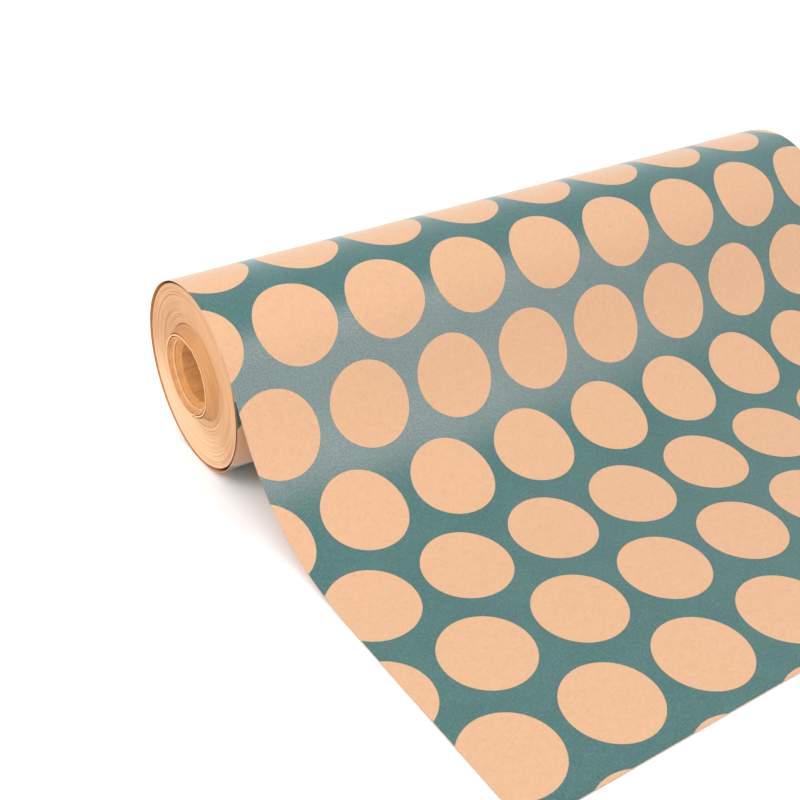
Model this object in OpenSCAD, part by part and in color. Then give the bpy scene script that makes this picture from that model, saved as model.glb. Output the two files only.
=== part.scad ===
// Counter roll of printed wrapping paper, lying on a table with its free end unrolled towards the front.
// X runs along the roll's axis, -Y is the front, where the free end lies, and +Z is up.
// The origin is the centre of the core's bore, midway along the paper's width. The last turn's
// centre lies a little above it, because the wound paper rests in the bottom of that loose turn.

/* [Paper] */
// Width of the paper, along the roll
paper_width = 500; // [300:10:700]
// Outer diameter of the whole roll, over its last turn
roll_diameter = 120; // [100:1:160]
// Thickness of the solid that stands for one sheet of paper
sheet_thickness = 0.5; // [0.3:0.1:0.8]
// Mean radial gap between the wound paper and its loose last turn
slack = 1.1; // [0.5:0.1:2]
// Gap left under the wound paper, where it rests in its last turn
rest_gap = 0.3; // [0.3:0.1:0.5]
// How far the last turn has slid out past the wound paper, towards -X
last_turn_shift = 1; // [0:0.5:4]
// How far the innermost turns have slid out with the core, towards -X
inner_turns_shift = 3; // [1:0.5:8]
// Thickness of the layer of innermost turns that have slid
inner_turns_thickness = 3.5; // [1:0.5:6]

/* [Free end] */
// Angle from the top of the roll, forwards, to the line where the paper lifts off it
lift_off_angle = 60.5; // [45:0.5:66]
// Length of paper over which the sheet bends level
bend_length = 190; // [120:1:200]
// Length of paper that lies flat in front of the bend, up to the cut edge
flat_length = 107; // [40:1:200]

/* [Core] */
// Diameter of the bore, for a spindle
bore_diameter = 38; // [30:0.5:40]
// Outer diameter of the inner tube
inner_tube_diameter = 45.4; // [43:0.1:46]
// Outer diameter of the middle tube
middle_tube_diameter = 51.8; // [50:0.1:52.5]
// Outer diameter of the outer tube
outer_tube_diameter = 54.7; // [53.5:0.1:58]
// Radial clearance between one tube and the next
tube_clearance = 0.1; // [0.05:0.05:0.2]
// How far the outer tube stands out of the wound paper at the -X end
outer_tube_stand_out = 4; // [0:0.5:15]
// How far the middle tube's end lies inside the outer tube's end
middle_tube_recess = 3; // [1:0.5:6]
// How far the inner tube's end lies inside the outer tube's end
inner_tube_recess = 6.5; // [4:0.5:12]

/* [Start tape] */
// Width of the tape, round the core
tape_width = 25; // [12:1:40]
// Thickness of the tape
tape_thickness = 0.2; // [0.1:0.05:0.3]
// Distance from each end of the wound paper to the tape
tape_inset = 40; // [10:5:100]

/* [Hidden] */

$fn = 96;
bend_steps = 40;
edge_break = 0.4;
tape_gap = 0.1;
last_turn_opening = 8;

roll_radius = roll_diameter / 2;
half_width = paper_width / 2;
wound_radius = roll_radius - sheet_thickness - slack;
core_radius = outer_tube_diameter / 2;
wound_bore_radius = core_radius + 2 * tape_gap + tape_thickness;

sheet_start = -half_width;
wound_start = sheet_start + last_turn_shift;
turn_lift = slack - rest_gap;
outer_tube_start = wound_start - outer_tube_stand_out;
middle_tube_start = outer_tube_start + middle_tube_recess;
inner_tube_start = outer_tube_start + inner_tube_recess;

// The free end's slope below level, as a share of its slope at lift-off, from 1 to 0 along the bend.
function slope_share(u) = pow(1 - u, 3) * (1 + 3 * u);
function slope_at(i) = lift_off_angle * slope_share((i + 0.5) / bend_steps);

// The bend as points (distance forwards, distance down), one step of paper apart.
bend_step = bend_length / bend_steps;
bend_points = [
    for (
        i = 0, p = [0, 0];
        i <= bend_steps;
        p = p + bend_step * [cos(slope_at(i)), sin(slope_at(i))], i = i + 1
    ) p
];
bend_reach = bend_points[bend_steps];

// The straight stretch between the roll and the bend takes up the rest of the drop to the table.
lift_off = roll_radius * [sin(lift_off_angle), cos(lift_off_angle)];
table_level = -roll_radius;
drop = lift_off[1] - (table_level + sheet_thickness);
straight_length = (drop - bend_reach[1]) / sin(lift_off_angle);
bend_start = [
    -lift_off[0] - straight_length * cos(lift_off_angle),
    lift_off[1] - straight_length * sin(lift_off_angle)
];

// The printed face of the free end, from the lift-off line to the cut edge, seen along the roll
// and measured from the last turn's centre.
face_points = [
    [-lift_off[0], lift_off[1]],
    for (p = bend_points) [bend_start[0] - p[0], bend_start[1] - p[1]],
    [bend_start[0] - bend_reach[0] - flat_length, bend_start[1] - bend_reach[1]]
];
face_slopes = [
    lift_off_angle,
    for (i = [0 : bend_steps]) lift_off_angle * slope_share(i / bend_steps),
    0
];
back_points = [
    for (i = [0 : len(face_points) - 1])
        face_points[i] + sheet_thickness * [sin(face_slopes[i]), -cos(face_slopes[i])]
];

function reversed(list) = [for (i = [len(list) - 1 : -1 : 0]) list[i]];

// Turns a shape made round Z to lie round X, with its angle 0 at the bottom and 90 at the back.
module along_x() {
    rotate([0, 90, 0]) children();
}

// A paper or board tube round the X axis, with broken edges.
module tube(radius, bore_radius, start, length) {
    along_x()
        rotate_extrude()
            polygon([
                [bore_radius, start + edge_break],
                [bore_radius + edge_break, start],
                [radius - edge_break, start],
                [radius, start + edge_break],
                [radius, start + length - edge_break],
                [radius - edge_break, start + length],
                [bore_radius + edge_break, start + length],
                [bore_radius, start + length - edge_break]
            ]);
}

// Part of a thin shell round the X axis, from one angle on by a sweep.
module shell(inner_radius, thickness, start, length, from_angle, sweep) {
    along_x()
        rotate([0, 0, from_angle])
            rotate_extrude(angle = sweep)
                translate([inner_radius, start])
                    square([thickness, length]);
}

// The outermost turn, loose round the wound paper, which ends where the free end lifts off.
module last_turn() {
    sweep = 360 - last_turn_opening;
    color("#5d8583")
        translate([0, 0, turn_lift])
            shell(
                roll_radius - sheet_thickness, sheet_thickness, sheet_start, paper_width,
                180 + lift_off_angle - sweep, sweep
            );
}

// The unrolled sheet: straight off the roll, bent level, then flat on the table to its cut edge.
module free_end() {
    color("#6d908d")
        translate([sheet_start, 0, turn_lift])
            rotate([90, 0, 90])
                linear_extrude(paper_width)
                    polygon(concat(face_points, reversed(back_points)));
}

// All the turns under the last one, wound tight on the core. The turns nearest the core have slid
// along with it, each a little further than the next, so they stand out at one end and lie deep
// at the other.
module wound_paper() {
    cone_radius = wound_bore_radius + inner_turns_thickness;
    color("#f0c396")
        along_x()
            translate([0, 0, wound_start])
                rotate_extrude()
                    polygon([
                        [wound_bore_radius, -inner_turns_shift],
                        [cone_radius, 0],
                        [wound_radius - edge_break, 0],
                        [wound_radius, edge_break],
                        [wound_radius, paper_width - edge_break],
                        [wound_radius - edge_break, paper_width],
                        [cone_radius, paper_width],
                        [wound_bore_radius, paper_width - inner_turns_shift]
                    ]);
}

// The strip that holds the first turn of paper to the core.
module start_tape() {
    color("#e8dfc8")
        shell(
            core_radius + tape_gap, tape_thickness, wound_start + tape_inset,
            paper_width - 2 * tape_inset, 0, tape_width / core_radius * 180 / PI
        );
}

// The thin outer tube of the core, whose rim stands out of the wound paper.
module core_outer_tube() {
    color("#e6ba8a")
        tube(core_radius, middle_tube_diameter / 2 + tube_clearance, outer_tube_start, paper_width);
}

// The middle tube of the core, set back inside the outer one.
module core_middle_tube() {
    color("#deac79")
        tube(
            middle_tube_diameter / 2, inner_tube_diameter / 2 + tube_clearance,
            middle_tube_start, paper_width
        );
}

// The inner tube of the core, which holds the bore and is set back furthest.
module core_inner_tube() {
    color("#cf9763")
        along_x()
            translate([0, 0, inner_tube_start])
                difference() {
                    cylinder(h = paper_width, r = inner_tube_diameter / 2);
                    translate([0, 0, -1])
                        cylinder(h = paper_width + 2, r = bore_diameter / 2);
                }
}

last_turn();
free_end();
wound_paper();
start_tape();
core_outer_tube();
core_middle_tube();
core_inner_tube();
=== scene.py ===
import math

import bpy
import numpy as np
from mathutils import Matrix, Vector


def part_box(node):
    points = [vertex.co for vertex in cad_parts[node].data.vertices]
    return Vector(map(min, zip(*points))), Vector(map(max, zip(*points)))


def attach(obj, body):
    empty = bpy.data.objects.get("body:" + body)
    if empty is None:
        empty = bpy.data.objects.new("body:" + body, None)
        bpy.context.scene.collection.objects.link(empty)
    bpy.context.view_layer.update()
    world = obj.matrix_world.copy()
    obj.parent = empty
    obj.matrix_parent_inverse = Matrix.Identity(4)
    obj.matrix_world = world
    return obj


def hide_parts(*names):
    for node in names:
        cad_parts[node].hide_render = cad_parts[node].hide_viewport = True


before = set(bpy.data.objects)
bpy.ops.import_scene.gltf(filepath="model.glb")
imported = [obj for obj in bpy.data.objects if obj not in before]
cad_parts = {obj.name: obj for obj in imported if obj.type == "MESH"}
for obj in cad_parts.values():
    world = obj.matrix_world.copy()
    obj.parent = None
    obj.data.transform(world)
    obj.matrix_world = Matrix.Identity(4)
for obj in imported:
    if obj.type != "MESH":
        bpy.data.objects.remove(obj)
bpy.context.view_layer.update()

MM = 0.001

# ---------------------------------------------------------------- sizes read from the frame
turn_low, turn_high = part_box("last_turn")
free_low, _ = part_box("free_end")
wound_low, wound_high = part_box("wound_paper")
outer_low, outer_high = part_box("core_outer_tube")
middle_low, middle_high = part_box("core_middle_tube")
inner_low, inner_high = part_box("core_inner_tube")

turn_radius = (turn_high[1] - turn_low[1]) / 2
turn_rise = (turn_high[2] + turn_low[2]) / 2
wound_radius = (wound_high[1] - wound_low[1]) / 2
outer_tube_radius = (outer_high[1] - outer_low[1]) / 2
middle_tube_radius = (middle_high[1] - middle_low[1]) / 2
inner_tube_radius = (inner_high[1] - inner_low[1]) / 2
sheet_left, sheet_right = turn_low[0], turn_high[0]
sheet_width = sheet_right - sheet_left
table_level = free_low[2]
cut_edge_y = free_low[1]
core_length = outer_high[0] - outer_low[0]

# ---------------------------------------------------------------- the object's own sizes
bore_radius = 19.0 * MM
outer_tube_bore = 26.0 * MM
middle_tube_bore = 22.8 * MM
wound_bore = 27.75 * MM              # radius of the wound paper's bore
wound_skin = 0.05 * MM               # taken off the radius of the wound paper's CAD solid
wound_face_radius = 58.4 * MM        # radius from which the wound face falls away towards the core
paper = 0.2 * MM                     # thickness of the visual sheet
lift_off = math.radians(60.5)        # angle from the top at which the free end leaves the roll
bend_length = 190 * MM
dot_pitch = 62.5 * MM                # between dots in a row; the paper is eight pitches wide
row_pitch = 59.6 * MM
dot_radius = 26.5 * MM
first_column = 50.43 * MM            # centre of the first dot of an odd row, from the left edge
first_row = -13.5 * MM               # developed distance of row 0 from the top of the roll
row_drift = 9.0 * MM                 # how far the rows have drifted on the turn beneath the free end
drift_start, drift_span = 70 * MM, 170 * MM
wound_face_inset = 0.7 * MM          # the wound turns' face lies this far inside the sheet's edge
lean_back, lean_up = 1.6 * MM, 1.3 * MM  # how far the core's left end sits off the roll's axis
squeeze, top_squeeze = 0.9 * MM, 1.5 * MM  # how far its left rim is pressed in at the bottom and top
squeeze_depth = 14 * MM              # depth over which the pressed rim gets round again


# ---------------------------------------------------------------- small helpers
def smooth_noise(points, seed, octaves=3):
    """Seeded sum of sines, about -1 to 1, that repeats each time points grows by 2 pi."""
    source = np.random.default_rng(seed)
    total = np.zeros_like(points, dtype=float)
    weight = 0.0
    for octave in range(octaves):
        scale = 1.0 / (1 + octave)
        for _ in range(3):
            count = source.integers(1 + 2 * octave, 4 + 3 * octave)
            phase = source.uniform(0, 2 * math.pi)
            total += scale * np.sin(points * count + phase)
            weight += scale
    return total / weight * 1.7


def bump_at(angle, centre, width):
    """A smooth hump of height 1 that wraps round. angle is in radians, centre and width in degrees."""
    from_centre = (angle - math.radians(centre) + math.pi) % (2 * math.pi) - math.pi
    share = np.clip(np.abs(from_centre) / math.radians(width), 0, 1)
    return (1 - share ** 2) ** 2


def ring_at(radius, centre, width):
    """A smooth ridge of height 1 all round at the radius centre."""
    return np.exp(-((radius - centre) / width) ** 2)


def eased(share):
    """Smooth step of a share that goes from 0 to 1."""
    return share ** 2 * (3 - 2 * share)


def make_object(name, vertices, faces, materials, face_materials=None, sharp_angle=None):
    """A smooth-shaded object, with the edges that turn by more than sharp_angle, in degrees, kept sharp."""
    mesh = bpy.data.meshes.new(name)
    mesh.from_pydata([tuple(v) for v in vertices], [], [tuple(f) for f in faces])
    for material in materials:
        mesh.materials.append(material)
    if face_materials is not None:
        mesh.polygons.foreach_set("material_index", np.asarray(face_materials, dtype=np.int32))
    mesh.polygons.foreach_set("use_smooth", [True] * len(mesh.polygons))
    mesh.update()
    mesh.validate()
    if sharp_angle is not None:
        mesh.set_sharp_from_angle(angle=math.radians(sharp_angle))
    made = bpy.data.objects.new(name, mesh)
    bpy.context.scene.collection.objects.link(made)
    return made


def add_attribute(made, name, values):
    """Give each vertex a number that a material can read by name."""
    attribute = made.data.attributes.new(name, "FLOAT", "POINT")
    attribute.data.foreach_set("value", values.reshape(-1))


# ---------------------------------------------------------------- node material helper
class Graph:
    """Builds a node material a call at a time. Numbers can be given in place of sockets."""

    def __init__(self, name):
        self.material = bpy.data.materials.new(name)
        self.material.use_nodes = True
        self.nodes = self.material.node_tree.nodes
        self.links = self.material.node_tree.links
        self.nodes.clear()
        self.shader = self.nodes.new("ShaderNodeBsdfPrincipled")
        self.output = self.nodes.new("ShaderNodeOutputMaterial")
        self.links.new(self.shader.outputs[0], self.output.inputs[0])

    def put(self, socket, value):
        if isinstance(value, bpy.types.NodeSocket):
            self.links.new(value, socket)
        else:
            socket.default_value = value

    def set(self, name, value):
        self.put(self.shader.inputs[name], value)

    def math(self, operation, a, b=0.0):
        node = self.nodes.new("ShaderNodeMath")
        node.operation = operation
        self.put(node.inputs[0], a)
        self.put(node.inputs[1], b)
        return node.outputs[0]

    def products(self, a, b, c, d):
        """a times b plus c times d."""
        return self.math("ADD", self.math("MULTIPLY", a, b), self.math("MULTIPLY", c, d))

    def cells(self, value, pitch):
        """The number of the cell that value lies in, and its distance from that cell's centre."""
        number = self.math("FLOOR", self.math("ADD", value, 0.5))
        return number, self.math("MULTIPLY", self.math("SUBTRACT", value, number), pitch)

    def ramp(self, value, low, high, start=0.0, end=1.0):
        """Smooth step of value from low to high, remapped to start..end."""
        node = self.nodes.new("ShaderNodeMapRange")
        node.interpolation_type = "SMOOTHSTEP"
        self.put(node.inputs[0], value)
        for index, number in enumerate((low, high, start, end)):
            node.inputs[index + 1].default_value = number
        return node.outputs[0]

    def mix(self, factor, a, b):
        node = self.nodes.new("ShaderNodeMix")
        node.data_type = "RGBA"
        self.put(node.inputs[0], factor)
        self.put(node.inputs[6], a)
        self.put(node.inputs[7], b)
        return node.outputs[2]

    def object_point(self):
        return self.nodes.new("ShaderNodeTexCoord").outputs["Object"]

    def print_point(self):
        node = self.nodes.new("ShaderNodeUVMap")
        node.uv_map = "print"
        return node.outputs[0]

    def attribute(self, name):
        node = self.nodes.new("ShaderNodeAttribute")
        node.attribute_name = name
        return node.outputs["Fac"]

    def split(self, vector):
        node = self.nodes.new("ShaderNodeSeparateXYZ")
        self.put(node.inputs[0], vector)
        return node.outputs

    def around_axis(self, point):
        """A point's x, its distance from the X axis and its angle round it."""
        x, y, z = self.split(point)
        radius = self.math("SQRT", self.products(y, y, z, z))
        return x, radius, self.math("ARCTAN2", y, z)

    def join(self, x, y, z):
        node = self.nodes.new("ShaderNodeCombineXYZ")
        for index, number in enumerate((x, y, z)):
            self.put(node.inputs[index], number)
        return node.outputs[0]

    def stretched(self, vector, scale, turn=0.0):
        node = self.nodes.new("ShaderNodeMapping")
        self.put(node.inputs["Vector"], vector)
        node.inputs["Scale"].default_value = scale
        node.inputs["Rotation"].default_value = (0, 0, turn)
        return node.outputs[0]

    def noise(self, vector, scale, detail=3.0, roughness=0.55, distortion=0.0):
        node = self.nodes.new("ShaderNodeTexNoise")
        self.put(node.inputs["Vector"], vector)
        node.inputs["Scale"].default_value = scale
        node.inputs["Detail"].default_value = detail
        node.inputs["Roughness"].default_value = roughness
        node.inputs["Distortion"].default_value = distortion
        return node.outputs[0]

    def bump(self, height, strength, distance):
        node = self.nodes.new("ShaderNodeBump")
        node.inputs["Strength"].default_value = strength
        node.inputs["Distance"].default_value = distance
        self.put(node.inputs["Height"], height)
        return node.outputs[0]


def srgb(red, green, blue):
    """A colour given as 0-255 sRGB, as the linear colour that nodes use."""
    parts = []
    for part in (red, green, blue):
        part = part / 255
        parts.append(part / 12.92 if part <= 0.04045 else ((part + 0.055) / 1.055) ** 2.4)
    return (*parts, 1.0)


# ---------------------------------------------------------------- materials
KRAFT = srgb(207, 164, 128)
KRAFT_DARK = srgb(184, 140, 103)
KRAFT_LIGHT = srgb(211, 168, 132)
TEAL = srgb(60, 103, 100)
TEAL_LIGHT = srgb(82, 124, 121)
TEAL_DARK = srgb(52, 96, 94)


def kraft_fibres(graph, point):
    """Fine long fibres and soft clouds of a kraft sheet: returns (fibre, cloud), each about 0 to 1."""
    lengthways = graph.stretched(point, (260, 1500, 260), 0.12)
    crossing = graph.stretched(point, (1300, 300, 300), -0.35)
    fibre_a = graph.noise(lengthways, 1.0, 3.0, 0.6, 0.4)
    fibre_b = graph.noise(crossing, 1.0, 3.0, 0.6, 0.4)
    fibre = graph.math("MULTIPLY", graph.math("ADD", fibre_a, fibre_b), 0.5)
    cloud = graph.noise(point, 160.0, 4.0, 0.7)
    return fibre, cloud


def printed_material():
    """The printed face of the sheet: bare kraft dots in teal ink."""
    graph = Graph("printed_kraft")
    point = graph.print_point()
    x, v, _ = graph.split(point)
    # a slight wobble of the ink's edge
    wobble = graph.noise(point, 420.0, 2.0, 0.5)
    wobble = graph.math("MULTIPLY", graph.math("SUBTRACT", wobble, 0.5), 0.35 * MM)
    # rows along v, every other row shifted by half a pitch
    row = graph.math("DIVIDE", graph.math("SUBTRACT", v, first_row), row_pitch)
    row_number, along_v = graph.cells(row, row_pitch)
    odd = graph.math("FLOORED_MODULO", row_number, 2.0)
    shift = graph.math("MULTIPLY", graph.math("SUBTRACT", 1.0, odd), 0.5)
    column = graph.math("DIVIDE", graph.math("SUBTRACT", x, first_column), dot_pitch)
    _, along_x = graph.cells(graph.math("SUBTRACT", column, shift), dot_pitch)
    squares = graph.products(along_x, along_x, along_v, along_v)
    distance = graph.math("ADD", graph.math("SQRT", squares), wobble)
    edge_blur = 0.16 * MM
    ink = graph.ramp(distance, dot_radius - edge_blur, dot_radius + edge_blur)

    fibre, cloud = kraft_fibres(graph, point)
    # bare kraft
    kraft = graph.mix(graph.ramp(cloud, 0.25, 0.75), KRAFT, KRAFT_LIGHT)
    kraft = graph.mix(graph.ramp(fibre, 0.46, 0.66, 0.0, 0.4), kraft, KRAFT_DARK)
    # ink laid over the fibres, thinner on the raised ones
    blotch = graph.noise(point, 28.0, 4.0, 0.62)
    teal = graph.mix(graph.ramp(blotch, 0.32, 0.72), TEAL_DARK, TEAL)
    teal = graph.mix(graph.ramp(fibre, 0.48, 0.62, 0.0, 0.55), teal, TEAL_LIGHT)
    grain = graph.noise(point, 2300.0, 2.0, 0.6)
    teal = graph.mix(graph.ramp(grain, 0.58, 0.8, 0.0, 0.26), teal, KRAFT)
    colour = graph.mix(ink, kraft, teal)
    # dark specks of bark
    speck = graph.nodes.new("ShaderNodeTexVoronoi")
    graph.put(speck.inputs["Vector"], point)
    speck.inputs["Scale"].default_value = 95.0
    speck_core = graph.math("SUBTRACT", 1.0, graph.ramp(speck.outputs["Distance"], 0.03, 0.075))
    # most cells have none, some have a faint one and very few a strong one
    chance = graph.split(speck.outputs["Color"])[0]
    faint = graph.math("GREATER_THAN", chance, 0.72)
    strong = graph.math("GREATER_THAN", chance, 0.985)
    strength = graph.products(faint, 0.2, strong, 0.6)
    colour = graph.mix(graph.math("MULTIPLY", speck_core, strength), colour, srgb(96, 66, 44))
    graph.set("Base Color", colour)

    kraft_gloss = graph.ramp(fibre, 0.35, 0.65, 0.62, 0.8)
    ink_gloss = graph.ramp(fibre, 0.35, 0.65, 0.28, 0.38)
    bare = graph.math("SUBTRACT", 1.0, ink)
    graph.set("Roughness", graph.products(ink_gloss, ink, kraft_gloss, bare))
    # the ink covers some fibres better than others, so its sheen is mottled
    cover = graph.noise(point, 850.0, 2.0, 0.7)
    shine = graph.ramp(cover, 0.36, 0.64, 0.02, 0.4)
    graph.set("Specular IOR Level", graph.math("ADD", graph.math("MULTIPLY", shine, ink), 0.3))
    height = graph.products(fibre, 0.7, cloud, 0.5)
    height = graph.math("ADD", height, graph.math("MULTIPLY", ink, 0.06))
    graph.set("Normal", graph.bump(height, 0.35, 0.12 * MM))
    graph.set("Sheen Weight", 0.45)
    graph.set("Sheen Roughness", 0.4)
    graph.set("Sheen Tint", (0.88, 0.96, 1.0, 1.0))
    return graph.material


def bare_kraft_material():
    """The unprinted back and the cut edges of the sheet."""
    graph = Graph("bare_kraft_back")
    point = graph.print_point()
    fibre, cloud = kraft_fibres(graph, point)
    # painted shade: the back is a darker, warmer kraft than the print side, for the shade and warm bounce
    # light where it shows under the last turn's edge
    colour = graph.mix(graph.ramp(cloud, 0.3, 0.7), srgb(205, 136, 82), srgb(218, 150, 94))
    colour = graph.mix(graph.ramp(fibre, 0.44, 0.64, 0.0, 0.5), colour, srgb(196, 127, 76))
    graph.set("Base Color", colour)
    graph.set("Roughness", graph.ramp(fibre, 0.35, 0.65, 0.68, 0.86))
    graph.set("Normal", graph.bump(graph.math("ADD", fibre, cloud), 0.3, 0.12 * MM))
    return graph.material


def wound_material():
    """The wound paper: layer lines, painted shade in the grooves and creases of its end faces, and an
    outside painted dark as shade.
    """
    graph = Graph("wound_kraft")
    point = graph.object_point()
    x, radius, angle = graph.around_axis(point)
    # layer lines: noise that varies fast with the radius and hardly with the angle
    fine_point = graph.join(graph.math("MULTIPLY", radius, 1400.0), graph.math("MULTIPLY", angle, 1.1), x)
    fine = graph.noise(fine_point, 1.0, 2.0, 0.6)
    coarse_point = graph.join(graph.products(radius, 330.0, angle, 0.35),
                              graph.math("MULTIPLY", angle, 0.45), 0.0)
    coarse = graph.noise(coarse_point, 1.0, 3.0, 0.6)
    soft = graph.noise(point, 45.0, 3.0, 0.6)
    colour = graph.mix(graph.ramp(coarse, 0.3, 0.7), srgb(210, 161, 117), srgb(222, 174, 130))
    colour = graph.mix(graph.ramp(fine, 0.35, 0.6, 0.55, 0.0), colour, srgb(178, 126, 84))
    colour = graph.mix(graph.ramp(soft, 0.35, 0.75, 0.0, 0.2), colour, srgb(230, 188, 144))
    # painted light: low at the back the end faces are painted paler, for the brighter light that falls
    # there
    _, y, z = graph.split(point)
    low_back = graph.products(y, 0.35, z, -0.94)
    colour = graph.mix(graph.ramp(low_back, 8 * MM, 46 * MM, 0.0, 0.9), colour, srgb(238, 198, 158))
    # painted shade: the grooves and creases of the end faces, and the shadow under the ledge, are painted
    # dark brown
    crease_shade = graph.math("MULTIPLY", graph.attribute("crease_shade"), 0.88)
    colour = graph.mix(crease_shade, colour, srgb(166, 104, 52))
    # painted shade: the outside, hidden in the gap under the last turn, is painted dark brown for the shade
    # there
    colour = graph.mix(graph.attribute("outside"), colour, srgb(150, 100, 66))
    # painted shade: the side of the pushed-out innermost turns is painted browner, for the shade and warm
    # bounce light on it
    flank = graph.ramp(graph.attribute("flank"), 0.0, 1.0, 0.0, 0.55)
    colour = graph.mix(flank, colour, srgb(182, 121, 60))
    graph.set("Base Color", colour)
    graph.set("Roughness", graph.ramp(fine, 0.3, 0.7, 0.72, 0.9))
    height = graph.products(fine, 0.8, coarse, 1.2)
    graph.set("Normal", graph.bump(height, 0.45, 0.35 * MM))
    return graph.material


def board_material(name, base, dark, light):
    """Spiral-wound core board, with ply lines on its cut ends."""
    graph = Graph(name)
    point = graph.object_point()
    x, radius, angle = graph.around_axis(point)
    ply_point = graph.join(graph.math("MULTIPLY", radius, 1900.0), graph.math("MULTIPLY", angle, 1.6), 0.0)
    plies = graph.noise(ply_point, 1.0, 2.0, 0.6)
    # paper fibres, drawn out round the tube
    fuzz_point = graph.join(graph.math("MULTIPLY", x, 1100.0), graph.math("MULTIPLY", angle, 6.0),
                            graph.math("MULTIPLY", radius, 1100.0))
    fuzz = graph.noise(fuzz_point, 1.0, 4.0, 0.65)
    cloud = graph.noise(point, 60.0, 3.0, 0.6)
    colour = graph.mix(graph.ramp(cloud, 0.3, 0.72, 0.0, 0.35), base, light)
    colour = graph.mix(graph.ramp(fuzz, 0.45, 0.7, 0.0, 0.4), colour, dark)
    colour = graph.mix(graph.ramp(plies, 0.36, 0.5, 0.35, 0.0), colour, dark)
    # the corners are painted pale: partly rubbed board, partly a painted highlight where the cut ends catch
    # the light
    rubbed_and_highlit = graph.math("MULTIPLY", graph.attribute("worn_and_highlit"), graph.ramp(fuzz, 0.3, 0.6, 0.95, 0.7))
    colour = graph.mix(rubbed_and_highlit, colour, light)
    graph.set("Base Color", colour)
    graph.set("Roughness", graph.ramp(fuzz, 0.3, 0.7, 0.7, 0.9))
    # the seam of the spirally wound ply
    seam_pitch = 95 * MM
    windings = graph.math("ADD", graph.math("DIVIDE", x, seam_pitch),
                          graph.math("DIVIDE", angle, 2 * math.pi))
    from_seam = graph.math("SUBTRACT", graph.math("FRACT", windings), 0.5)
    seam = graph.ramp(graph.math("ABSOLUTE", from_seam), 0.0, 0.008)
    height = graph.products(fuzz, 0.8, plies, 0.7)
    height = graph.math("ADD", height, graph.math("MULTIPLY", seam, 0.8))
    graph.set("Normal", graph.bump(height, 0.4, 0.25 * MM))
    return graph.material


def tape_material():
    """Creped paper tape."""
    graph = Graph("paper_tape")
    point = graph.object_point()
    crepe = graph.noise(graph.stretched(point, (2200, 300, 300)), 1.0, 3.0, 0.6)
    cloud = graph.noise(point, 90.0, 3.0, 0.5)
    colour = graph.mix(graph.ramp(cloud, 0.3, 0.7), srgb(222, 202, 160), srgb(236, 220, 182))
    graph.set("Base Color", colour)
    graph.set("Roughness", graph.ramp(crepe, 0.3, 0.7, 0.5, 0.7))
    graph.set("Normal", graph.bump(crepe, 0.4, 0.15 * MM))
    return graph.material


# ---------------------------------------------------------------- the sheet: last turn and free end in one
def slope_share(u):
    """Share of the lift-off slope left at u of the way through the bend."""
    return (1 - u) ** 3 * (1 + 3 * u)


def sheet_path():
    """The sheet's outer face, seen along the roll, from its hidden start to the cut edge.

    Returns rows of (y, z, developed length from the top of the roll), and the sheet's whole length.
    """
    step = 2.0 * MM
    # once round, from under the free end back over the top to where the free end leaves
    start = lift_off - math.radians(11) - 2 * math.pi
    count = int((lift_off - start) * turn_radius / step)
    angles = np.linspace(start, lift_off, count)
    # the start lies close on the wound turns and rises to the loose last turn
    start_clearance = 0.55 * MM
    sunk = turn_radius + turn_rise * math.cos(lift_off) - wound_radius - paper - start_clearance
    rising = np.clip((angles - start) / math.radians(30), 0, 1)
    radius = turn_radius - sunk * (1 - eased(rising))
    # slack hangs out a little under the front of the roll, and lies closer over the back
    radius = radius + 0.8 * MM * bump_at(angles, 100, 40) * (angles < -math.pi)
    radius = radius + 1.2 * MM * bump_at(angles, 145, 30)
    radius = radius - 0.3 * MM * bump_at(angles, -35, 45)
    # and nothing goes below the table
    y = -radius * np.sin(angles)
    z = np.maximum(turn_rise + radius * np.cos(angles), table_level + 0.05 * MM)
    points = list(zip(y, z))
    # straight off the roll, as far as leaves just the bend's own drop to the table
    bend_steps = 120
    slopes = lift_off * slope_share((np.arange(bend_steps) + 0.5) / bend_steps)
    bend_step = bend_length / bend_steps
    lift_y, lift_z = points[-1]
    flat_level = table_level + paper + 0.25 * MM
    straight = (lift_z - flat_level - np.sum(np.sin(slopes)) * bend_step) / math.sin(lift_off)
    pieces = max(2, int(straight / step))
    for piece in range(1, pieces + 1):
        share = piece / pieces * straight
        points.append((lift_y - share * math.cos(lift_off), lift_z - share * math.sin(lift_off)))
    # bent level
    for slope in slopes:
        last_y, last_z = points[-1]
        points.append((last_y - math.cos(slope) * bend_step, last_z - math.sin(slope) * bend_step))
    # flat on the table
    last_y = points[-1][0]
    flat = last_y - (cut_edge_y + 0.2 * MM)
    pieces = int(flat / step)
    for piece in range(1, pieces + 1):
        points.append((last_y - flat * piece / pieces, flat_level))
    points = np.array(points)
    lengths = np.concatenate(([0], np.cumsum(np.hypot(*np.diff(points, axis=0).T))))
    top = np.interp(0.0, angles, lengths[:count])
    return np.column_stack((points, lengths - top)), lengths[-1]


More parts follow.
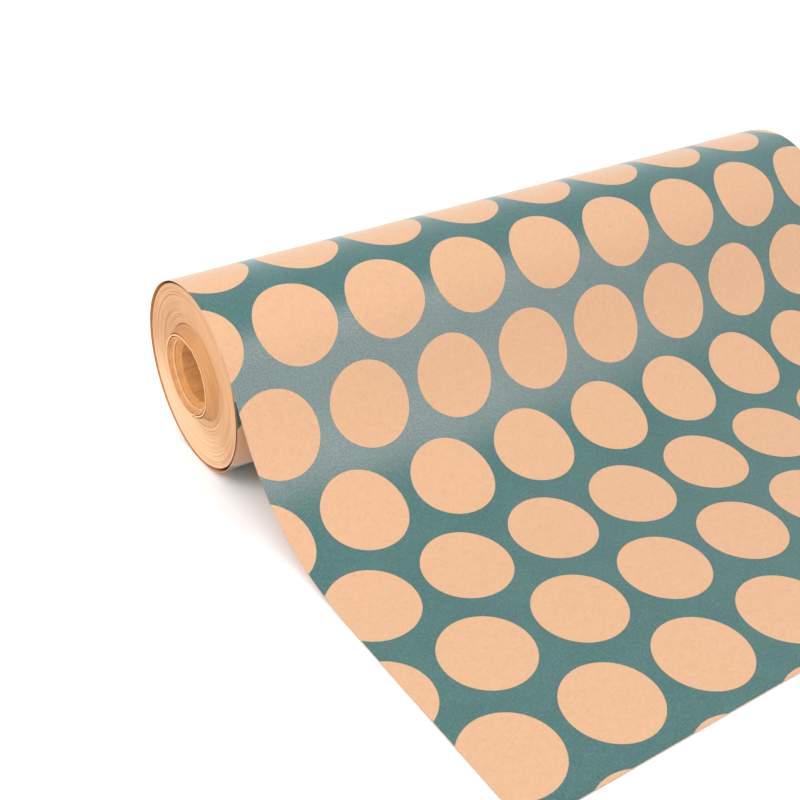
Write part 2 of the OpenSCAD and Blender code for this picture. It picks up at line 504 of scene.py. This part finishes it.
def build_sheet():
    """The last turn and the free end, as one thin closed sheet that is printed on its outer face."""
    path, length = sheet_path()
    across = np.linspace(sheet_left, sheet_right, 61)
    rows, columns = len(path), len(across)
    tangent = np.gradient(path[:, :2], axis=0)
    tangent /= np.linalg.norm(tangent, axis=1)[:, None]
    # turned towards the roll's axis, and towards the table
    inward = np.column_stack((-tangent[:, 1], tangent[:, 0]))
    # the flat part lies with slow low waves on the table, which fade at its cut edge
    wave_start, wave_fade, edge_fade = 200 * MM, 60 * MM, 20 * MM
    waves = np.clip((path[:, 2] - wave_start) / wave_fade, 0, 1)
    grid_x, grid_v = np.meshgrid(across, path[:, 2])
    lift = waves[:, None] * 0.35 * MM * (1 + smooth_noise(grid_x * 9 + grid_v * 5, 5))
    lift *= np.clip((grid_v.max() - grid_v) / edge_fade, 0.35, 1)
    outer = np.zeros((rows, columns, 3))
    inner = np.zeros((rows, columns, 3))
    for side, thickness in ((outer, 0.0), (inner, paper)):
        side[:, :, 0] = grid_x
        side[:, :, 1] = (path[:, 0] + inward[:, 0] * thickness)[:, None]
        side[:, :, 2] = (path[:, 1] + inward[:, 1] * thickness)[:, None] + lift
    vertices = np.concatenate((outer.reshape(-1, 3), inner.reshape(-1, 3)))
    half = rows * columns
    # each face's material is 0, printed, or 1, bare
    faces, kinds = [], []
    for row in range(rows - 1):
        for column in range(columns - 1):
            here = row * columns + column
            ahead = here + columns
            faces.append((here, ahead, ahead + 1, here + 1))
            faces.append((half + here, half + here + 1, half + ahead + 1, half + ahead))
            kinds += [0, 1]
    for row in range(rows - 1):
        here, ahead = row * columns, (row + 1) * columns
        faces.append((here, half + here, half + ahead, ahead))
        here, ahead = here + columns - 1, ahead + columns - 1
        faces.append((here, ahead, half + ahead, half + here))
        kinds += [1, 1]
    for here in range(columns - 1):
        faces.append((here, here + 1, half + here + 1, half + here))
        last = (rows - 1) * columns + here
        faces.append((last, half + last, half + last + 1, last + 1))
        kinds += [1, 1]
    materials = [printed_material(), bare_kraft_material()]
    sheet = make_object("printed_sheet", vertices, faces, materials, kinds, 40)
    # round the back the rows drift, so that the turn beneath the free end shows its dots where it does
    share = np.clip((-grid_v - drift_start) / drift_span, 0, 1)
    printed_v = (grid_v + row_drift * eased(share)).reshape(-1)
    printed_x = (grid_x - sheet_left).reshape(-1)
    developed = np.column_stack((np.tile(printed_x, 2), np.tile(printed_v, 2)))
    corner = np.zeros(len(sheet.data.loops), dtype=np.int32)
    sheet.data.loops.foreach_get("vertex_index", corner)
    layer = sheet.data.uv_layers.new(name="print")
    layer.data.foreach_set("uv", developed[corner].reshape(-1))
    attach(sheet, "sheet")
    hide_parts("last_turn", "free_end")


# ---------------------------------------------------------------- turned pieces
def revolve(name, outline, segments, material, offset, sharp_angle):
    """Closed solid from a closed outline of (x, radius), with offset's shifts of both added.

    offset(x, radius, angle) returns the shift of x and the shift of the radius.
    """
    count = len(outline)
    x = np.tile(outline[:, 0], (segments, 1))
    radius = np.tile(outline[:, 1], (segments, 1))
    angle = np.repeat(np.arange(segments)[:, None] / segments * 2 * math.pi, count, axis=1)
    shift_x, shift_radius = offset(x, radius, angle)
    x = x + shift_x
    radius = radius + shift_radius
    vertices = np.stack((x, -radius * np.sin(angle), radius * np.cos(angle)), axis=2).reshape(-1, 3)
    faces = []
    for segment in range(segments):
        here = segment * count
        ahead = (segment + 1) % segments * count
        for this in range(count):
            following = (this + 1) % count
            faces.append((here + this, ahead + this, ahead + following, here + following))
    return make_object(name, vertices, faces, [material], sharp_angle=sharp_angle)


def core_bend(x, radius, angle):
    """Radial shift of the core, whose left half leans back and up and whose left rim is pressed oval."""
    lean = lean_up * np.cos(angle) - lean_back * np.sin(angle)
    lean = lean * np.clip(-x / (0.5 * sheet_width), 0, 1)
    wall = np.clip((radius - bore_radius) / (inner_tube_radius - bore_radius), 0, 1)
    pressed = squeeze * bump_at(angle, 165, 60)
    pressed = pressed + wall * top_squeeze * bump_at(angle, -8, 65)
    return lean - pressed * np.clip(1 - (x - outer_low[0]) / squeeze_depth, 0, 1)


def cone_foot(angle):
    """Radius out to which the innermost turns are pushed out with the core."""
    wide = 1.5 * bump_at(angle, 60, 50)
    narrow = 2.1 * bump_at(angle, 158, 36) + 1.0 * bump_at(angle, -35, 60)
    return (31.8 + wide - narrow) * MM


def wound_face(radius, angle):
    """The wound face's telescoped turns and wavy ridges.

    Returns how far the face lies inwards from its outer level, how dark the shade painted into its grooves
    and creases is, from 0 to 1, and where the innermost turns are pushed out, from 0 to 1.
    """
    source = np.random.default_rng(7)
    crease_shade = np.zeros_like(radius)
    # the turns are not quite round
    wander = radius + 0.18 * MM * smooth_noise(angle, 3, 2)
    # the face falls away towards the core
    inset = 3.0 * MM * np.clip((wound_face_radius - radius) / (wound_face_radius - 31 * MM), 0, 1)
    # the outermost turns stand back a little, and come forward low at the front
    outermost = np.clip((radius - 50 * MM) / (8.4 * MM), 0, 1) ** 2
    inset += outermost * MM * (0.4 * bump_at(angle, -40, 60)
                               + 0.5 * bump_at(angle, 25, 45)
                               + 0.5 * bump_at(angle, 145, 30)
                               + 0.35 * bump_at(angle, -105, 65)
                               - 0.5 * bump_at(angle, 95, 42))
    # bands of turns that wandered sideways, with a narrow groove between one band and the next, painted
    # dark as shade
    strongest = 0.45 + 0.55 * bump_at(angle, -35, 95) + 0.35 * bump_at(angle, 165, 70)
    edge = 32.5 * MM
    while edge < 58 * MM:
        width = source.uniform(1.1, 2.5) * MM
        height = source.uniform(-0.16, 0.16) * MM
        centre = edge + width / 2
        hump = np.clip(1 - ((wander - centre) / (width * 0.5)) ** 4, 0, 1)
        phase = source.uniform(0, 2 * math.pi)
        swell = 0.6 + 0.4 * np.sin(angle * source.integers(1, 3) + phase)
        inset += height * hump * swell
        groove = ring_at(wander, edge, 0.24 * MM)
        inset += source.uniform(0.25, 0.6) * MM * groove * strongest * swell
        crease_shade += 0.6 * groove * strongest * swell
        edge += width
    # fine ripples over the cut edges
    for _ in range(5):
        rate = source.uniform(4.5, 12)
        weave = np.sin(angle * source.integers(1, 4) + source.uniform(0, 6))
        inset += 0.03 * MM * np.sin(wander / MM * rate + weave * 1.3 + source.uniform(0, 6))
    # thin creases between single turns, two or three to every band, with painted shade in them
    edge = 31.5 * MM
    clearest = 0.25 + 0.75 * bump_at(angle, -50, 80) + 0.8 * bump_at(angle, 95, 60)
    clearest = clearest + 0.45 * bump_at(angle, 165, 40)
    while edge < 57.5 * MM:
        fade = 0.5 + 0.5 * np.sin(angle * source.integers(2, 6) + source.uniform(0, 2 * math.pi))
        line = ring_at(wander, edge, 0.2 * MM) * fade * clearest * source.uniform(0.4, 1.0)
        crease_shade += 0.7 * line
        inset += 0.12 * MM * line
        edge += source.uniform(0.8, 1.7) * MM
    # wider apart at the front, also with painted shade in them
    faint = np.clip((52 * MM - radius) / (12 * MM), 0.3, 1)
    edge = 34.0 * MM
    while edge < 57.5 * MM:
        line = ring_at(wander, edge, 0.34 * MM) * bump_at(angle, 95, 58)
        crease_shade += source.uniform(0.35, 0.75) * faint * line
        inset += 0.15 * MM * line
        edge += source.uniform(2.0, 3.2) * MM
    # crescent groove just outside the cone of the innermost turns, with painted shade in it
    groove = ring_at(radius, 32.0 * MM, 0.5 * MM) * bump_at(angle, -30, 42)
    inset += 1.2 * MM * groove
    crease_shade += 0.75 * groove
    # a ridge of turns stands out lower down at the front
    foot = cone_foot(angle)
    ridge = ring_at(radius, foot + 0.9 * MM, 0.6 * MM) * bump_at(angle, 95, 75)
    inset -= 0.5 * MM * ridge
    # a short ledge below the core, with its shadow painted dark
    ledge = ring_at(radius, foot - 0.6 * MM, 0.7 * MM) * bump_at(angle, 158, 26)
    inset += 1.4 * MM * ledge
    crease_shade += 1.5 * ledge
    # the innermost turns are pushed out as a cone
    cone = np.clip((foot - radius) / (foot - wound_bore), 0, 1)
    inset -= 6.2 * MM * cone ** 1.2
    flank = np.clip((foot + 0.6 * MM - radius) / (1.2 * MM), 0, 1)
    return inset, np.clip(0.8 * crease_shade, 0, 0.8) + 0.2 * ledge, flank


def build_wound_turns():
    """All the turns under the last one, as one ring with the relief of their edges on its end faces."""
    segments = 288
    outside_radius = wound_radius - wound_skin
    radii = np.append(np.arange(wound_bore, outside_radius, 0.2 * MM), outside_radius)
    left = sheet_left + wound_face_inset
    right = sheet_right - 2 * MM + wound_face_inset
    # outline: left face from the core outwards, over the outside, right face back in, along the bore
    outline = [(left, radius) for radius in radii]
    outline += [(left + (right - left) * part / 6, outside_radius) for part in range(1, 6)]
    outline += [(right, radius) for radius in radii[::-1]]
    outline += [(right + (left - right) * part / 3, wound_bore) for part in range(1, 3)]
    outline.append((left + squeeze_depth, wound_bore))
    outline = np.array(outline)

    def shift(x, radius, angle):
        on_face = np.isclose(x, left) | np.isclose(x, right)
        inset = np.where(on_face, wound_face(radius, angle)[0], 0.0)
        # the outermost turns fill the loose last turn a little more at the top and the back
        outermost = np.clip((radius - 40 * MM) / (18 * MM), 0, 1)
        oval = (0.45 * bump_at(angle, 0, 85) + 0.3 * bump_at(angle, -100, 60)) * MM
        # the innermost turns follow the core
        near_core = np.clip((45 * MM - radius) / (45 * MM - wound_bore), 0, 1)
        return inset, oval * outermost + core_bend(x, radius, angle) * near_core

    turns = revolve("wound_turns", outline, segments, wound_material(), shift, 60)
    radius_grid = np.tile(outline[:, 1], (segments, 1))
    angle_grid = np.repeat(np.arange(segments)[:, None] / segments * 2 * math.pi, len(outline), axis=1)
    _, crease_shade, flank = wound_face(radius_grid, angle_grid)
    add_attribute(turns, "crease_shade", crease_shade)
    add_attribute(turns, "flank", flank)
    add_attribute(turns, "outside", (radius_grid > outside_radius - 0.01 * MM).astype(float))
    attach(turns, "roll")
    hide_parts("wound_paper")


def build_tube(name, node, first_end, last_end, bore, outside, plies, pale, material, seed, notches):
    """One core tube, of board plies that end at slightly different places.

    first_end and last_end are the left ends of the innermost and outermost ply, and pale has the numbers
    of the plies whose cut end is painted pale, partly as rubbed board and partly as a painted highlight.
    notches are (angle, half width, depth) in the left rim, with the first two in degrees.
    """
    segments = 192
    source = np.random.default_rng(seed)
    soft = 0.10 * MM
    ply = (outside - bore) / plies
    ends = np.linspace(first_end, last_end, plies)
    ends[1:-1] += source.uniform(-0.15, 0.15, max(0, plies - 2)) * MM
    outline, worn_and_highlit = [], []

    def corner(x, radius, is_pale):
        outline.append((x, radius))
        worn_and_highlit.append(1.0 if is_pale else 0.0)

    for k in range(plies):  # left end, from the bore outwards
        low, high = bore + k * ply, bore + (k + 1) * ply
        corner(ends[k] + soft, low, k in pale)
        corner(ends[k], low + soft, k in pale)
        corner(ends[k], high - soft, k in pale)
        if k == plies - 1 or ends[k + 1] > ends[k]:
            corner(ends[k] + soft, high, k in pale)
    steps = (0.3 * MM, 0.8 * MM, 2 * MM, 6 * MM, squeeze_depth, core_length / 2,
             core_length - 6 * MM, core_length - 2 * MM, core_length - 0.8 * MM)
    for step in steps:  # along the outside
        corner(ends[-1] + step, outside, False)
    for k in range(plies - 1, -1, -1):  # right end, back to the bore
        low, high = bore + k * ply, bore + (k + 1) * ply
        if k == plies - 1 or ends[k + 1] < ends[k]:
            corner(ends[k] + core_length - soft, high, k in pale)
        corner(ends[k] + core_length, high - soft, k in pale)
        corner(ends[k] + core_length, low + soft, k in pale)
        if k == 0 or ends[k - 1] < ends[k]:
            corner(ends[k] + core_length - soft, low, k in pale)
    for step in reversed(steps):  # back along the bore
        corner(ends[0] + step, bore, False)
    nearest = min(first_end, last_end)

    def shift(x, radius, angle):
        to_left = np.clip(1 - (x - nearest - 3 * MM) / (2.5 * MM), 0, 1)
        to_right = np.clip((x - nearest - core_length + 3 * MM) / (2.5 * MM), 0, 1)
        wave = 0.07 * MM * smooth_noise(angle, seed + 1, 4)
        out_of_round = 0.12 * MM * np.sin(2 * angle + seed)
        shift_x = (to_left + to_right) * wave
        for centre, half_width, depth in notches:
            shift_x = shift_x + to_left * depth * bump_at(angle, centre, half_width)
        return shift_x, (to_left + to_right) * out_of_round + core_bend(x, radius, angle)

    tube = revolve(name, np.array(outline), segments, material, shift, 38)
    add_attribute(tube, "worn_and_highlit", np.tile(worn_and_highlit, segments))
    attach(tube, "roll")
    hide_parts(node)


# ---------------------------------------------------------------- build
build_sheet()
build_wound_turns()
board = board_material("core_board", srgb(208, 146, 84), srgb(172, 114, 62), srgb(238, 196, 150))
inner_board = board_material("inner_board", srgb(211, 148, 81), srgb(174, 113, 56), srgb(240, 196, 146))
end_slope = 2.5 * MM                 # the outer plies of the two inner tubes stick out this much further
build_tube("outer_tube", "core_outer_tube", outer_low[0] + 0.1 * MM, outer_low[0],
           outer_tube_bore + 0.35 * MM, outer_tube_radius, 2, (0, 1), board, 11,
           [(168, 5, 0.8 * MM), (100, 12, 0.2 * MM), (22, 5, 0.5 * MM)])
build_tube("middle_tube", "core_middle_tube", middle_low[0], middle_low[0] - end_slope,
           middle_tube_bore, middle_tube_radius - 0.15 * MM, 4, (0,), board, 12, [(172, 5, 0.6 * MM)])
build_tube("inner_tube", "core_inner_tube", inner_low[0], inner_low[0] - end_slope,
           bore_radius, inner_tube_radius, 5, (), inner_board, 13, [(185, 8, 0.3 * MM)])
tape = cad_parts["start_tape"]
tape.data.materials.clear()
tape.data.materials.append(tape_material())

# ---------------------------------------------------------------- floor, light and camera
floor_graph = Graph("studio_floor")
floor_graph.set("Base Color", srgb(250, 250, 250))
floor_graph.set("Roughness", 0.9)
reach = 3.0                          # the floor reaches this far each way
floor_corners = [(-reach, -reach, 0), (reach, -reach, 0), (reach, reach, 0), (-reach, reach, 0)]
floor = make_object("floor", floor_corners, [(0, 1, 2, 3)], [floor_graph.material])
floor.location = (0, 0, table_level - 0.4 * MM)

world = bpy.data.worlds.new("studio")
bpy.context.scene.world = world
world.use_nodes = True
background = world.node_tree.nodes["Background"]
background.inputs["Color"].default_value = (1, 1, 1, 1)
background.inputs["Strength"].default_value = 0.85


def area_light(name, direction, distance, size, power, target):
    """A rectangular light at a distance from target, in the given direction, that shines at it."""
    data = bpy.data.lights.new(name, "AREA")
    data.shape = "RECTANGLE"
    data.size, data.size_y = size
    data.energy = power
    lamp = bpy.data.objects.new(name, data)
    bpy.context.scene.collection.objects.link(lamp)
    place = Vector(target) + Vector(direction).normalized() * distance
    aim = (place - Vector(target)).to_track_quat("Z", "Y").to_matrix().to_4x4()
    lamp.matrix_world = Matrix.Translation(place) @ aim
    return lamp


overhead = area_light("overhead", (0, 0, 1), 2.2, (3.5, 3.5), 24.5, (0, 0.3, 0))
overhead.visible_glossy = False
overhead.data.color = (1.0, 0.97, 0.93)
front_fill = area_light("front_fill", (-0.1, -0.85, 0.5), 2.0, (1.5, 1.5), 9.5, (sheet_left, -0.05, 0))
front_fill.visible_glossy = False
# this one shows only as sheen
sheen_target = (sheet_left + 0.15, -0.05, 0)
sheen_light = area_light("sheen", (0.36, -0.70, 0.56), 1.5, (1.2, 1.1), 22, sheen_target)
sheen_light.data.color = (1.0, 0.70, 0.70)
sheen_light.visible_diffuse = False
area_light("end_key", (-0.62, -0.15, 0.75), 0.9, (0.4, 0.4), 2.5, (sheet_left, 0, 0))
back_light = area_light("back", (0.5, 0.9, 0.3), 2.0, (1.5, 0.6), 9.0, (0, 0, 0))
back_light.visible_glossy = False
back_light.data.color = (0.96, 1.0, 1.0)

# the camera's place, in roll radii from the left end of the roll's axis
azimuth, elevation, tilt = math.radians(-33.22), math.radians(31.92), math.radians(0.80)
distance, side, rise = 12.142, -0.15389, -0.00537
back = Vector((math.sin(azimuth) * math.cos(elevation),
               -math.cos(azimuth) * math.cos(elevation),
               math.sin(elevation)))
level_right = Vector((math.cos(azimuth), math.sin(azimuth), 0))
level_up = back.cross(level_right)
right = math.cos(tilt) * level_right + math.sin(tilt) * level_up
up = -math.sin(tilt) * level_right + math.cos(tilt) * level_up
place = Vector((sheet_left, 0, 0)) + turn_radius * distance * (back - side * right + rise * up)
camera_data = bpy.data.cameras.new("camera")
camera_data.sensor_width = 36
camera_data.lens = 36 * 1.50042
camera_data.shift_x, camera_data.shift_y = 0.03, -0.02
camera_data.clip_start = 0.01
camera = bpy.data.objects.new("camera", camera_data)
bpy.context.scene.collection.objects.link(camera)
camera.matrix_world = Matrix.Translation(place) @ Matrix((right, up, back)).transposed().to_4x4()
bpy.context.scene.camera = camera
bpy.context.scene.view_settings.view_transform = "Standard"
